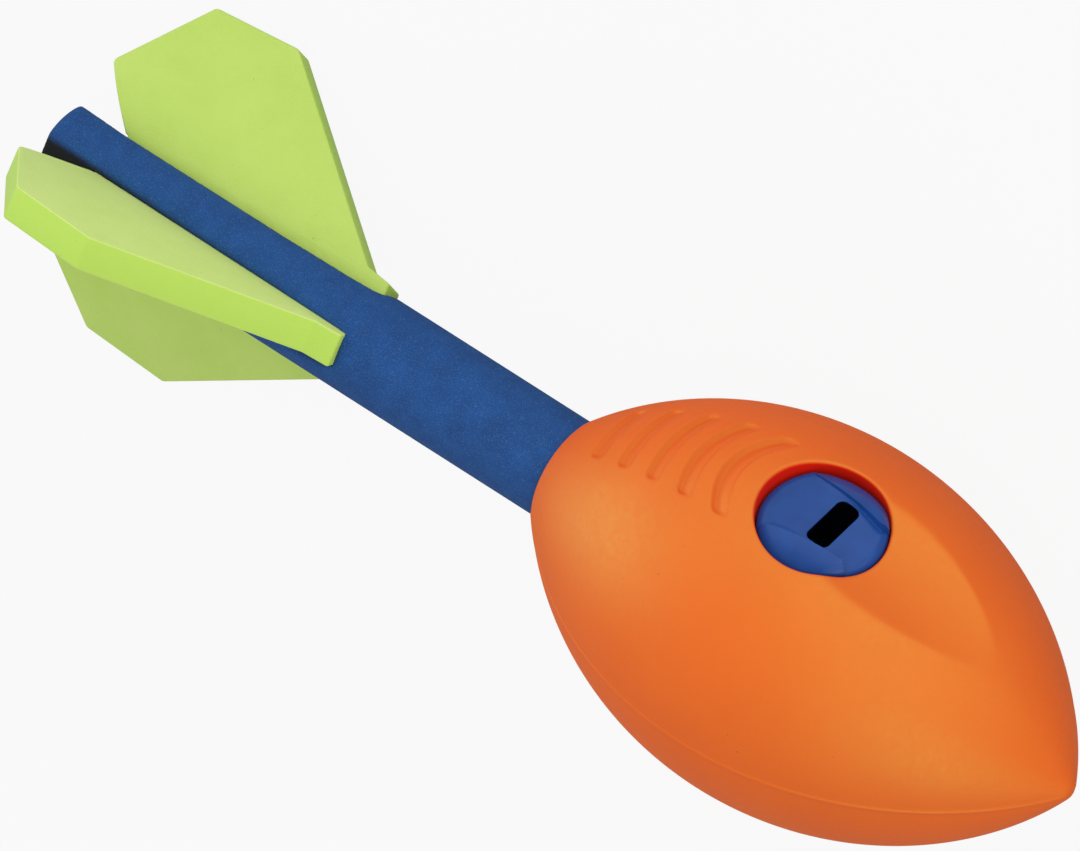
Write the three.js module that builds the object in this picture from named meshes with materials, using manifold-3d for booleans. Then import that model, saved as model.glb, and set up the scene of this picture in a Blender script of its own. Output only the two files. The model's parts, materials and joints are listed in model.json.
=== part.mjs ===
import * as THREE from 'three';
import { mergeVertices } from 'three/addons/utils/BufferGeometryUtils.js';
import Module from 'manifold-3d';

// A foam throwing toy: a football shaped head with two whistles in it, a foam tube for a tail, and
// three foam fins set into the tube near the tail end. Lengths are in millimetres and angles in degrees.
// Every piece is laid out about the toy's own axis. X runs from the tail end, at 0, to the nose, and Z
// points to the top fin. An angle round the axis counts from Y towards Z, so the top fin is at 90.
// The finished toy is tipped until it lies on its head and its two lower fins.

// Sizes that the whole toy shares
const overallLength = 320;
const clearance = 0.3; // gap between pieces that sit on each other
const overrun = 6; // how far a cutter reaches past the surface that it opens

// The foam head
const head = {
  radius: 48.2, // at its widest
  neckArc: 97.5, // radius of its side, from the neck to the widest place
  noseArc: 100.5, // and from there to the nose
  noseFlatRadius: 1.5,
  neckLip: 1.2, // foam round the tail where it leaves the head
  socketDepth: 46, // how far the tail reaches into the head
};

// The foam tube of the tail and the stiff core inside it
const tail = {
  radius: 13.5,
  coreRadius: 6.3,
  coreWall: 1.3,
  coreSetback: 2.5, // of the core's end from the tail end
  corePlug: 8, // how far the core reaches past the foam tube, into the head
};

// The seats of the fins. The tail tube is cut flat under each fin, and a slot in the flat takes the
// root of the fin, down to the core. The flats are turned a little about the axis.
const seat = {
  length: 97, // from the tail end to the front of the fins
  depth: 2.2, // of the flat under the surface of the tube
  turn: 5.5,
};

// The fins, cut from one thickness of foam sheet. A pair of numbers is a corner: its distance from the
// tail end, and its distance from the axis.
const fin = {
  thickness: 9,
  angles: { fin_top: 90, fin_right: 210, fin_left: 330 },
  rearRoot: 15.3, // where the rear edge meets the tail tube, from the tail end
  rearHeel: { along: 0, out: 25.8 },
  rearTip: { along: 15.2, out: 50.7 },
  frontTip: { along: 39.9, out: 52.9 },
  footLength: 7.6, // low foot at the front end of the fin
  footRise: 2.6, // of the foot above the tail tube, where the front edge comes down
  footDrop: 0.9, // how much lower the foot is at its front end
};

// The whistles: a cap with the mouth in it, on a deep cup, sunk in a pocket of the head. The cap's top
// is the side of a barrel that lies along the toy.
const whistle = {
  angles: { upper: 35, lower: 215 },
  fromNose: 78.4,
  pocketRadius: 16.7,
  sink: 0.5, // of the cap's top under the skin of the head
  barrelRise: 6.4, // from the cap's rim to its top, across the toy
  barrelArc: 80, // radius of the barrel's side, along the toy
  capSide: 2, // straight side of the cap under its rim
  channelDepth: 3, // of the channel's floor under the cap's top, at the mouth
  channelTailBend: 250, // radius of the floor from the mouth towards the tail
  channelNoseSlope: 10.5, // of the floor from the mouth towards the nose
  channelWidth: 17.4, // over the middle of the cap
  channelTaper: 6.1, // of each of its sides towards the nose
  floorWall: 1.6, // of the cap, between the channel and the chamber
  mouthLength: 15.4, // round the toy
  mouthWidth: 6.8, // along the toy
  mouthCorner: 2,
  mouthForward: 2.6, // of the mouth's middle from the cap's middle, towards the nose
  cupDepth: 20,
  cupWall: 1.6,
  flangeWidth: 1.4,
  flangeHeight: 1.5,
};

// The hollow that leads air from the nose side into the whistle
const scoop = {
  tipFromNose: 26,
  depth: 4.2, // at the edge of the pocket
  crossRadius: 60, // of the hollow's round floor, across the toy
  turn: -2.5, // of its middle from the whistle's angle
};

// The grip grooves behind each whistle. They bow round it, the nearest one the most.
const groove = {
  count: 5,
  firstSetback: 26.9, // of the nearest groove from the middle of the whistle
  pitch: 9.45,
  halfSweep: 17.5, // each way round the toy from the whistle's angle
  bow: 5.7, // of the nearest groove's ends towards the nose
  bowShare: 0.6, // of a groove's bow that the next one has
  width: 4.6,
  depth: 1,
};

// How finely the round forms are divided
const division = {
  headRound: 60,
  headNeckSide: 10,
  headNoseSide: 12,
  tubeRound: 42,
  whistleRound: 30,
  dome: 6,
  barrelRound: 90,
  channelBend: 6,
  scoopRound: 72,
  grooveSteps: 7,
  grooveSides: 8,
  corner: 3,
};

const finish = {
  headFoam: { color: 0xe8702a, roughness: 0.55, metalness: 0 },
  tubeFoam: { color: 0x235298, roughness: 0.9, metalness: 0 },
  finFoam: { color: 0xb4dc58, roughness: 0.75, metalness: 0 },
  whistlePlastic: { color: 0x2a54a0, roughness: 0.22, metalness: 0 },
  corePlastic: { color: 0x16181c, roughness: 0.5, metalness: 0 },
};

const wasm = await Module();
wasm.setup();

const toRadians = THREE.MathUtils.degToRad;
const quarterTurn = Math.PI / 2;
const upright = 90; // angle round the axis at which a piece is drawn before it is turned to its place

// Sizes that follow from the ones above
const neckRadius = tail.radius + clearance + head.neckLip;
const widestAt = overallLength - arcRun(head.noseArc, head.noseFlatRadius);
const headRear = widestAt - arcRun(head.neckArc, neckRadius);
const tubeFront = headRear + head.socketDepth;
const coreFront = tubeFront + tail.corePlug;
const boreRadius = tail.coreRadius + clearance;
const finSlotWidth = fin.thickness + 2 * clearance;
const whistleAt = overallLength - whistle.fromNose;
const skinAtWhistle = headRadiusAt(whistleAt);
const capRadius = whistle.pocketRadius - clearance;
const capTop = skinAtWhistle - whistle.sink;
const barrelRadius = (capRadius ** 2 + whistle.barrelRise ** 2) / (2 * whistle.barrelRise);
const capRim = capTop - whistle.barrelRise;
const capBottom = capRim - whistle.capSide;
const channelFloor = capTop - whistle.channelDepth;
const cupTop = capBottom - clearance;
const cupBottom = cupTop - whistle.cupDepth;
const cupRadius = capRadius - whistle.flangeWidth;
const chamberRadius = cupRadius - whistle.cupWall;

// How far along the toy an arc of the head's side runs until the head is down to a radius
function arcRun(arc, radius) {
  return Math.sqrt(arc ** 2 - (arc - head.radius + radius) ** 2);
}

function headArcAt(along) {
  return along < widestAt ? head.neckArc : head.noseArc;
}

// Radius of the head's skin at a place along the toy
function headRadiusAt(along) {
  const arc = headArcAt(along);
  return Math.sqrt(arc ** 2 - (along - widestAt) ** 2) - arc + head.radius;
}

// Slope of the head's skin there, as the angle of its normal from straight outwards
function headLeanAt(along) {
  return Math.asin((along - widestAt) / headArcAt(along));
}

// A closed geometry as a solid that can be cut
function toSolid(geometry) {
  const bare = geometry.clone();
  bare.deleteAttribute('normal');
  bare.deleteAttribute('uv');
  const merged = mergeVertices(bare);
  const corners = merged.index.array;
  const triVerts = [];
  for (let i = 0; i < corners.length; i += 3) {
    const [a, b, c] = corners.slice(i, i + 3);
    if (a !== b && b !== c && c !== a) triVerts.push(a, b, c);
  }
  const vertProperties = merged.attributes.position.array;
  return new wasm.Manifold(new wasm.Mesh({ numProp: 3, vertProperties, triVerts: new Uint32Array(triVerts) }));
}

function toGeometry(solid) {
  const mesh = solid.getMesh();
  const geometry = new THREE.BufferGeometry();
  geometry.setAttribute('position', new THREE.BufferAttribute(mesh.vertProperties, 3));
  geometry.setIndex(new THREE.BufferAttribute(mesh.triVerts, 1));
  geometry.computeVertexNormals();
  return geometry;
}

// A geometry less each of the cutters
function cut(geometry, cutters) {
  let solid = toSolid(geometry);
  for (const cutter of cutters) solid = solid.subtract(toSolid(cutter));
  return toGeometry(solid);
}

function makeMesh(name, geometry, look) {
  const mesh = new THREE.Mesh(geometry, new THREE.MeshStandardMaterial(look));
  mesh.name = name;
  return mesh;
}

// Turned shapes. A profile is a list of [radius, height] pairs, up the outside.
function turnedUp(profile, rounds) {
  const points = profile.map(([radius, height]) => new THREE.Vector2(radius, height));
  return new THREE.LatheGeometry(points, rounds).rotateX(quarterTurn);
}

function turnedAlong(profile, rounds) {
  const points = profile.map(([radius, along]) => new THREE.Vector2(radius, along));
  return new THREE.LatheGeometry(points, rounds).rotateZ(-quarterTurn);
}

// Moves a geometry that is drawn upright to its angle round the toy and its place along it
function placed(geometry, angle, along) {
  return geometry.rotateX(toRadians(angle - upright)).translate(along, 0, 0);
}

// A bowed path round the toy's axis that keeps one height over the skin of the head
class GroovePath extends THREE.Curve {
  constructor(along, bow, angle, lift) {
    super();
    Object.assign(this, { along, bow, angle, lift });
  }

  getPoint(share, target = new THREE.Vector3()) {
    const side = 2 * share - 1;
    const skinAlong = this.along + this.bow * side ** 2;
    const lean = headLeanAt(skinAlong);
    const radius = headRadiusAt(skinAlong) + this.lift * Math.cos(lean);
    const angle = toRadians(this.angle + side * groove.halfSweep);
    return target.set(skinAlong + this.lift * Math.sin(lean), radius * Math.cos(angle), radius * Math.sin(angle));
  }
}

function pocketCutter() {
  const ledge = cupTop - whistle.flangeHeight - clearance;
  const floor = cupBottom - clearance;
  const wellRadius = cupRadius + clearance;
  const above = head.radius + overrun;
  return turnedUp([
    [0, floor],
    [wellRadius, floor],
    [wellRadius, ledge],
    [whistle.pocketRadius, ledge],
    [whistle.pocketRadius, above],
    [0, above],
  ], division.whistleRound);
}

// A long round bar whose lowest line runs from the tip of the scoop to its floor at the pocket
function scoopCutter() {
  const tipAlong = overallLength - scoop.tipFromNose;
  const edgeAlong = whistleAt + whistle.pocketRadius;
  const tip = new THREE.Vector2(tipAlong, headRadiusAt(tipAlong));
  const edge = new THREE.Vector2(edgeAlong, headRadiusAt(edgeAlong) - scoop.depth);
  const run = tip.clone().sub(edge);
  const inner = edge.clone().addScaledVector(run, -overrun / run.length());
  const outer = tip.clone().addScaledVector(run, overrun / run.length());
  const outwards = new THREE.Vector2(-run.y, run.x).normalize();
  const middle = inner.clone().add(outer).multiplyScalar(1 / 2).addScaledVector(outwards, scoop.crossRadius);
  const length = inner.distanceTo(outer);
  return new THREE.CylinderGeometry(scoop.crossRadius, scoop.crossRadius, length, division.scoopRound)
    .rotateZ(-quarterTurn)
    .rotateY(-run.angle())
    .translate(middle.x, 0, middle.y);
}

// A curved bar that dips into the skin by the groove's depth
function grooveCutter(index, angle) {
  const along = whistleAt - groove.firstSetback - index * groove.pitch;
  const barRadius = ((groove.width / 2) ** 2 + groove.depth ** 2) / (2 * groove.depth);
  const bow = groove.bow * groove.bowShare ** index;
  const path = new GroovePath(along, bow, angle, barRadius - groove.depth);
  const section = new THREE.Shape();
  for (let side = 0; side < division.grooveSides; side += 1) {
    const turn = ((side + 1 / 2) / division.grooveSides) * 2 * Math.PI;
    const corner = [barRadius * Math.cos(turn), barRadius * Math.sin(turn)];
    if (side === 0) section.moveTo(...corner);
    else section.lineTo(...corner);
  }
  section.closePath();
  return new THREE.ExtrudeGeometry(section, {
    steps: division.grooveSteps,
    bevelEnabled: false,
    extrudePath: path,
  });
}

function makeHead() {
  const profile = [[0, headRear]];
  const addRing = (arc, lean) => {
    profile.push([arc * Math.cos(lean) - arc + head.radius, widestAt + arc * Math.sin(lean)]);
  };
  for (let step = division.headNeckSide; step > 0; step -= 1) {
    addRing(head.neckArc, (headLeanAt(headRear) * step) / division.headNeckSide);
  }
  for (let step = 0; step <= division.headNoseSide; step += 1) {
    addRing(head.noseArc, (headLeanAt(overallLength) * step) / division.headNoseSide);
  }
  profile.push([0, overallLength]);
  const socketRadius = tail.radius + clearance;
  const tailSocket = turnedAlong([
    [0, headRear - overrun],
    [socketRadius, headRear - overrun],
    [socketRadius, tubeFront + clearance],
    [boreRadius, tubeFront + clearance],
    [boreRadius, coreFront + clearance],
    [0, coreFront + clearance],
  ], division.tubeRound);
  const cutters = [tailSocket];
  for (const angle of Object.values(whistle.angles)) {
    cutters.push(placed(scoopCutter(), angle + scoop.turn, 0));
    cutters.push(placed(pocketCutter(), angle, whistleAt));
    for (let index = 0; index < groove.count; index += 1) cutters.push(grooveCutter(index, angle));
  }
  return makeMesh('head_foam', cut(turnedAlong(profile, division.headRound), cutters), finish.headFoam);
}

function makeTailTube() {
  const ring = turnedAlong([
    [boreRadius, 0],
    [tail.radius, 0],
    [tail.radius, tubeFront],
    [boreRadius, tubeFront],
    [boreRadius, 0],
  ], division.tubeRound);
  const reach = tail.radius + overrun;
  const flatFrom = tail.radius - seat.depth;
  const slotRear = fin.rearRoot - clearance;
  const cuts = Object.values(fin.angles).flatMap((angle) => {
    const flat = new THREE.BoxGeometry(seat.length + overrun, 2 * reach, reach)
      .translate((seat.length - overrun) / 2, 0, flatFrom + reach / 2);
    const slot = new THREE.BoxGeometry(seat.length - slotRear, finSlotWidth, reach)
      .translate((seat.length + slotRear) / 2, 0, reach / 2);
    return [placed(flat, angle + seat.turn, 0), placed(slot, angle, 0)];
  });
  return makeMesh('tail_tube', cut(ring, cuts), finish.tubeFoam);
}

function makeTailCore() {
  const inner = tail.coreRadius - tail.coreWall;
  const core = turnedAlong([
    [inner, tail.coreSetback],
    [tail.coreRadius, tail.coreSetback],
    [tail.coreRadius, coreFront],
    [inner, coreFront],
    [inner, tail.coreSetback],
  ], division.tubeRound);
  return makeMesh('tail_core', core, finish.corePlastic);
}

function makeFin(name) {
  const rootOut = tail.coreRadius + clearance;
  const footFront = seat.length - clearance;
  const footRear = footFront - fin.footLength;
  const outline = new THREE.Shape();
  outline.moveTo(fin.rearRoot, rootOut);
  outline.lineTo(footFront, rootOut);
  outline.lineTo(footFront, tail.radius + fin.footRise - fin.footDrop);
  outline.lineTo(footRear, tail.radius + fin.footRise);
  outline.lineTo(fin.frontTip.along, fin.frontTip.out);
  outline.lineTo(fin.rearTip.along, fin.rearTip.out);
  outline.lineTo(fin.rearHeel.along, fin.rearHeel.out);
  const heelBend = (fin.rearHeel.along + fin.rearRoot) / 3;
  outline.quadraticCurveTo(heelBend, (fin.rearHeel.out + tail.radius) / 2, fin.rearRoot, tail.radius);
  outline.closePath();
  const plate = new THREE.ExtrudeGeometry(outline, {
    depth: fin.thickness,
    bevelEnabled: false,
    curveSegments: division.corner * 2,
  });
  plate.translate(0, 0, -fin.thickness / 2).rotateX(quarterTurn);
  const mesh = makeMesh(name, plate, finish.finFoam);
  mesh.rotation.x = toRadians(fin.angles[name] - upright);
  return mesh;
}

// The channel over a cap. Seen from above it narrows towards the nose. Seen from the side its floor is
// highest at the mouth, bends down towards the tail and slopes down towards the nose.
function channelCutter() {
  const reach = capRadius + overrun;
  const above = capTop + overrun;
  const widening = reach * Math.tan(toRadians(whistle.channelTaper));
  const tailHalf = whistle.channelWidth / 2 + widening;
  const noseHalf = whistle.channelWidth / 2 - widening;
  const plan = new THREE.Shape();
  plan.moveTo(-reach, -tailHalf);
  plan.lineTo(reach, -noseHalf);
  plan.lineTo(reach, noseHalf);
  plan.lineTo(-reach, tailHalf);
  plan.closePath();
  const planBlock = new THREE.ExtrudeGeometry(plan, { depth: above, bevelEnabled: false });

  const side = new THREE.Shape();
  const bend = whistle.channelTailBend;
  const bendLean = Math.asin(reach / bend);
  side.moveTo(-reach, above);
  for (let step = division.channelBend; step >= 0; step -= 1) {
    const lean = (bendLean * step) / division.channelBend;
    side.lineTo(-bend * Math.sin(lean), channelFloor - bend * (1 - Math.cos(lean)));
  }
  side.lineTo(whistle.mouthForward, channelFloor);
  const slopeDrop = (reach - whistle.mouthForward) * Math.tan(toRadians(whistle.channelNoseSlope));
  side.lineTo(reach, channelFloor - slopeDrop);
  side.lineTo(reach, above);
  side.closePath();
  const sideBlock = new THREE.ExtrudeGeometry(side, { depth: 2 * reach, bevelEnabled: false })
    .translate(0, 0, -reach)
    .rotateX(quarterTurn);
  return toGeometry(toSolid(planBlock).intersect(toSolid(sideBlock)));
}

// The barrel whose side is the top of a cap
function makeBarrel() {
  const reach = capRadius + overrun;
  const profile = [];
  for (let step = -division.dome; step <= division.dome; step += 1) {
    const along = (reach * step) / division.dome;
    const drop = whistle.barrelArc - Math.sqrt(whistle.barrelArc ** 2 - along ** 2);
    profile.push([barrelRadius - drop, along]);
  }
  const barrel = turnedAlong([[0, -reach], ...profile, [0, reach]], division.barrelRound);
  return barrel.translate(0, 0, capTop - barrelRadius);
}

// Points of a dome's profile from its rim to its top, with the middle of its ball below the top
function domeProfile(radius, rimRadius, top) {
  const points = [];
  const rimLean = Math.asin(rimRadius / radius);
  for (let step = division.dome; step > 0; step -= 1) {
    const lean = (rimLean * step) / division.dome;
    points.push([radius * Math.sin(lean), top - radius * (1 - Math.cos(lean))]);
  }
  points.push([0, top]);
  return points;
}

// The cap is domed inside, over the chamber, and its mouth is a rounded slot
function makeWhistleCap(name) {
  const hollowTop = channelFloor - whistle.floorWall;
  const hollowRadius = barrelRadius - whistle.channelDepth - whistle.floorWall;
  const hollowRim = Math.sqrt(hollowRadius ** 2 - (hollowRadius - hollowTop + capBottom) ** 2);
  const inside = domeProfile(hollowRadius, hollowRim, hollowTop).reverse();

  const halfWidth = whistle.mouthWidth / 2;
  const halfLength = whistle.mouthLength / 2;
  const corner = Math.min(whistle.mouthCorner, halfWidth, halfLength);
  const mouth = new THREE.Shape();
  mouth.absarc(halfWidth - corner, halfLength - corner, corner, 0, quarterTurn);
  mouth.absarc(corner - halfWidth, halfLength - corner, corner, quarterTurn, 2 * quarterTurn);
  mouth.absarc(corner - halfWidth, corner - halfLength, corner, 2 * quarterTurn, 3 * quarterTurn);
  mouth.absarc(halfWidth - corner, corner - halfLength, corner, 3 * quarterTurn, 4 * quarterTurn);
  const mouthCutter = new THREE.ExtrudeGeometry(mouth, {
    depth: 2 * overrun,
    bevelEnabled: false,
    curveSegments: division.corner,
  }).translate(whistle.mouthForward, 0, channelFloor - overrun);

  const outside = [[capRadius, capBottom], [capRadius, capTop], [0, capTop]];
  const block = toSolid(turnedUp([...inside, ...outside], division.whistleRound));
  const body = toGeometry(block.intersect(toSolid(makeBarrel())));
  return makeMesh(name, cut(body, [channelCutter(), mouthCutter]), finish.whistlePlastic);
}

function makeWhistleCup(name) {
  const cup = turnedUp([
    [0, cupBottom],
    [cupRadius, cupBottom],
    [cupRadius, cupTop - whistle.flangeHeight],
    [capRadius, cupTop - whistle.flangeHeight],
    [capRadius, cupTop],
    [chamberRadius, cupTop],
    [chamberRadius, cupBottom + whistle.cupWall],
    [0, cupBottom + whistle.cupWall],
  ], division.whistleRound);
  return makeMesh(name, cup, finish.whistlePlastic);
}

function makeWhistle(side) {
  const group = new THREE.Group();
  group.add(makeWhistleCap(`${side}_whistle_cap`), makeWhistleCup(`${side}_whistle_cup`));
  group.rotation.x = toRadians(whistle.angles[side] - upright);
  group.position.x = whistleAt;
  return group;
}

// How far the toy tips, nose up, when it lies on its head and on one corner of each lower fin. The
// lower fins stand half way between level and straight down.
function tipAngleOn(corner) {
  const droop = Math.sin(toRadians(fin.angles.fin_left)) * corner.out;
  const edge = Math.cos(toRadians(fin.angles.fin_left)) * (fin.thickness / 2);
  const back = widestAt - corner.along;
  const down = head.neckArc - head.radius - droop + edge;
  return Math.asin(head.neckArc / Math.hypot(back, down)) - Math.atan2(down, back);
}

const toy = new THREE.Group();
toy.add(makeHead(), makeTailTube(), makeTailCore());
for (const name of Object.keys(fin.angles)) toy.add(makeFin(name));
for (const side of Object.keys(whistle.angles)) toy.add(makeWhistle(side));
toy.rotation.y = -Math.min(tipAngleOn(fin.rearTip), tipAngleOn(fin.frontTip));

// The origin is on the floor under the middle of the toy
const part = new THREE.Group();
part.add(toy);
const bounds = new THREE.Box3().setFromObject(part, true);
const middle = bounds.getCenter(new THREE.Vector3());
toy.position.set(-middle.x, -middle.y, -bounds.min.z);

export default part;
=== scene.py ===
import json
import math
import bmesh
import bpy
import numpy as np
from mathutils import Matrix, Vector


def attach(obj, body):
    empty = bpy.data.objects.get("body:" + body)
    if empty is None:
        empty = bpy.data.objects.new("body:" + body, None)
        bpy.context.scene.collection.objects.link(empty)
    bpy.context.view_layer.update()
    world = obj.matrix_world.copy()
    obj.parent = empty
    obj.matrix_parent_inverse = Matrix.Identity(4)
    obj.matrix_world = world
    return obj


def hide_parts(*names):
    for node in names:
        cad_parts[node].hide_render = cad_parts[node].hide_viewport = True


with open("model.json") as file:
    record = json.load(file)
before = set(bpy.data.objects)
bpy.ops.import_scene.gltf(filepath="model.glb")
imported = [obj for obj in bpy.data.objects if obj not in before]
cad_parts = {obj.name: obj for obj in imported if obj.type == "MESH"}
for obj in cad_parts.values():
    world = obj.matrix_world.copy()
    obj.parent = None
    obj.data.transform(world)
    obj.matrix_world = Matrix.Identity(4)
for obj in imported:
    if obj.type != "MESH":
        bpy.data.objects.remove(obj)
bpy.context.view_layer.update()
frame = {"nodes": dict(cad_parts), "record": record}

mm = 0.001

# The toy lies tipped, on its head and its two lower fins. Every shape is made along the toy's
# own axis, in millimetres: X from the tail end to the nose, Z to the top fin. placed() then puts
# it in the room.
tailMount = {"turn": 37, "out": 11.5}  # where the mount sits: degrees from Y to Z, and off the axis
mount = frame["record"]["mounts"][0]
noseWay = -Vector(mount["axis"]).normalized()
sideWay = Vector((0, 1, 0))
topWay = noseWay.cross(sideWay).normalized()
mountTurn = math.radians(tailMount["turn"])
mountWay = sideWay * math.cos(mountTurn) + topWay * math.sin(mountTurn)
tailEnd = Vector(mount["pos_m"]) - mountWay * tailMount["out"] * mm
toyAxes = np.array([noseWay, sideWay, topWay])


def placed(points):
    return np.asarray(points, float) @ toyAxes * mm + np.array(tailEnd)


def roomPoint(point):
    return Vector(placed(point).tolist())


def roomWay(direction):
    return Vector((np.asarray(direction, float) @ toyAxes).tolist()).normalized()


def linkObject(name, data):
    linked = bpy.data.objects.new(name, data)
    bpy.context.scene.collection.objects.link(linked)
    return linked


# The photograph's view, in the toy's own axes
photoView = {
    "right": (0.77345, 0.36302, -0.51961),  # the picture's right
    "towards": (0.39944, 0.35735, 0.84424),  # from the toy to the camera
    "lookAt": (148.172, 5.544, -2.483),  # at the middle of the picture
    "width": 265.41,  # of the picture, at the toy
    "distance": 9500,  # far off, as the photograph shows next to no perspective
    "sensor": 36,
    "seesTo": 200,  # metres
}


def makeCamera(view):
    towards = roomWay(view["towards"])
    right = roomWay(view["right"])
    right = (right - towards * right.dot(towards)).normalized()
    up = towards.cross(right)
    lens = bpy.data.cameras.new("photoCamera")
    lens.sensor_width = view["sensor"]
    lens.lens = view["sensor"] * view["distance"] / view["width"]
    lens.clip_end = view["seesTo"]
    camera = linkObject("photoCamera", lens)
    stand = roomPoint(view["lookAt"]) + towards * view["distance"] * mm
    turn = Matrix((right, up, towards)).transposed().to_4x4()
    camera.matrix_world = Matrix.Translation(stand) @ turn
    bpy.context.scene.camera = camera
    return right, up, towards


picRight, picUp, picTowards = makeCamera(photoView)
print("camera is set")

# A shell gathers rows of points, and the faces between them, until it is made a mesh
weldWithin = 2e-6  # metres


def newShell():
    return {"points": [], "faces": [], "count": 0}


def addPoints(shell, points):
    points = np.asarray(points, float).reshape(-1, 3)
    start = shell["count"]
    shell["points"].append(points)
    shell["count"] += len(points)
    return start


def addGrid(shell, rows, closed=False):
    rows = np.asarray(rows, float)
    n, m = rows.shape[:2]
    start = addPoints(shell, rows)
    i = np.arange(n - 1)[:, None]
    j = np.arange(m if closed else m - 1)[None, :]
    corners = [i * m + j, i * m + (j + 1) % m, (i + 1) * m + (j + 1) % m, (i + 1) * m + j]
    shell["faces"] += (np.stack(corners, -1).reshape(-1, 4) + start).tolist()


def addFan(shell, loop, middle):
    start = addPoints(shell, np.vstack([loop, [middle]]))
    n = len(loop)
    shell["faces"] += [[start + i, start + (i + 1) % n, start + n] for i in range(n)]


# Joins two closed loops round the same middle that have different numbers of points
def addZip(shell, inner, outer):
    loops = []
    for loop in (inner, outer):
        angles = np.arctan2(loop[:, 1], loop[:, 0])
        order = np.argsort(angles)
        loops.append((loop[order], angles[order]))
    (inner, innerAngles), (outer, outerAngles) = loops
    innerStart = addPoints(shell, inner)
    outerStart = addPoints(shell, outer)
    n, m = len(inner), len(outer)
    i = j = 0
    while i < n or j < m:
        nextInner = innerAngles[i + 1] if i + 1 < n else innerAngles[0] + 2 * math.pi
        nextOuter = outerAngles[j + 1] if j + 1 < m else outerAngles[0] + 2 * math.pi
        innerNow, outerNow = innerStart + i % n, outerStart + j % m
        if j >= m or (i < n and nextInner <= nextOuter):
            shell["faces"].append([innerNow, innerStart + (i + 1) % n, outerNow])
            i += 1
        else:
            shell["faces"].append([outerNow, outerStart + (j + 1) % m, innerNow])
            j += 1


# The points round the rim of a grid, in order
def rimOf(grid):
    return np.vstack([grid[0, :-1], grid[:-1, -1], grid[-1, :0:-1], grid[:0:-1, 0]])


# The points of a circle of radius 1 that lie the same way from the middle
def onCircle(flat):
    turns = np.arctan2(flat[:, 1], flat[:, 0])
    return np.column_stack([np.cos(turns), np.sin(turns)])


# Points given along the toy, across and out from its axis, turned to an angle round the axis
def turned(points, angle, along=0):
    turn = math.radians(angle)
    points = np.asarray(points, float)
    a, t, h = points[..., 0], points[..., 1], points[..., 2]
    y = h * math.cos(turn) - t * math.sin(turn)
    z = h * math.sin(turn) + t * math.cos(turn)
    return np.stack([a + along, y, z], -1)


# The way back: where a mesh's points are in the toy's own axes, or seen from a whistle's middle
def ownPlaces(mesh, whistleAngle=None):
    points = np.array([vertex.co[:] for vertex in mesh.vertices])
    points = (points - np.array(tailEnd)) @ toyAxes.T / mm
    if whistleAngle is None:
        return points
    turn = math.radians(whistleAngle)
    out = points[:, 1] * math.cos(turn) + points[:, 2] * math.sin(turn)
    side = points[:, 2] * math.cos(turn) - points[:, 1] * math.sin(turn)
    return np.column_stack([points[:, 0] - whistle["at"], side, out])


def mark(mesh, name, values, per="POINT"):
    attribute = mesh.attributes.new(name, "FLOAT", per)
    attribute.data.foreach_set("value", np.asarray(values, np.float32))


def meshFromShell(name, shell):
    mesh = bpy.data.meshes.new(name)
    mesh.from_pydata(placed(np.vstack(shell["points"])).tolist(), [], shell["faces"])
    bm = bmesh.new()
    bm.from_mesh(mesh)
    bmesh.ops.remove_doubles(bm, verts=bm.verts, dist=weldWithin)
    bmesh.ops.recalc_face_normals(bm, faces=bm.faces)
    bm.to_mesh(mesh)
    bm.free()
    return mesh


def linkPiece(name, mesh, material, sharpOver):
    mesh.shade_smooth()
    mesh.set_sharp_from_angle(angle=math.radians(sharpOver))
    mesh.materials.append(material)
    bm = bmesh.new()
    bm.from_mesh(mesh)
    openEdges = sum(1 for edge in bm.edges if not edge.is_manifold)
    bm.free()
    print(name, "has", len(mesh.polygons), "faces and", openEdges, "open edges")
    return linkObject(name, mesh)


def standFor(piece, node):
    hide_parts(node)
    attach(piece, "root")


def smoothStep(low, high, value):
    share = np.clip((value - low) / (high - low), 0, 1)
    return share * share * (3 - 2 * share)


def softMin(one, other, soft):
    return (one + other - np.sqrt((one - other) ** 2 + soft ** 2)) / 2


# A place on the bend that rounds a corner off, at a share of the way from start to end
def onBend(start, corner, end, share):
    return start * (1 - share) ** 2 + corner * 2 * share * (1 - share) + end * share ** 2


# Materials: a tree is a material's nodes and links, and a bump's distance is in metres
def newMaterial(name, plain):
    material = bpy.data.materials.new(name)
    material.use_nodes = True
    shader = material.node_tree.nodes["Principled BSDF"]
    for socket, value in plain.items():
        shader.inputs[socket].default_value = value
    return material, material.node_tree, shader


def addNode(tree, kind, settings=None, **values):
    node = tree.nodes.new(kind)
    for key, value in (settings or {}).items():
        setattr(node, key, value)
    for socket, value in values.items():
        node.inputs[socket].default_value = value
    return node


def feed(tree, node, sources):
    for socket, source in sources.items():
        tree.links.new(source, node.inputs[socket])


def noiseAt(tree, scale, detail=2, roughness=0.5):
    if "Texture Coordinate" not in tree.nodes:
        tree.nodes.new("ShaderNodeTexCoord")
    noise = addNode(tree, "ShaderNodeTexNoise", Scale=scale, Detail=detail, Roughness=roughness)
    feed(tree, noise, {"Vector": tree.nodes["Texture Coordinate"].outputs["Object"]})
    return noise.outputs["Fac"]


def spanned(tree, value, low, high, toLow=0.0, toHigh=1.0):
    node = addNode(tree, "ShaderNodeMapRange")
    feed(tree, node, {"Value": value})
    ends = {"From Min": low, "From Max": high, "To Min": toLow, "To Max": toHigh}
    for socket, number in ends.items():
        node.inputs[socket].default_value = number
    return node.outputs["Result"]


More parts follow.
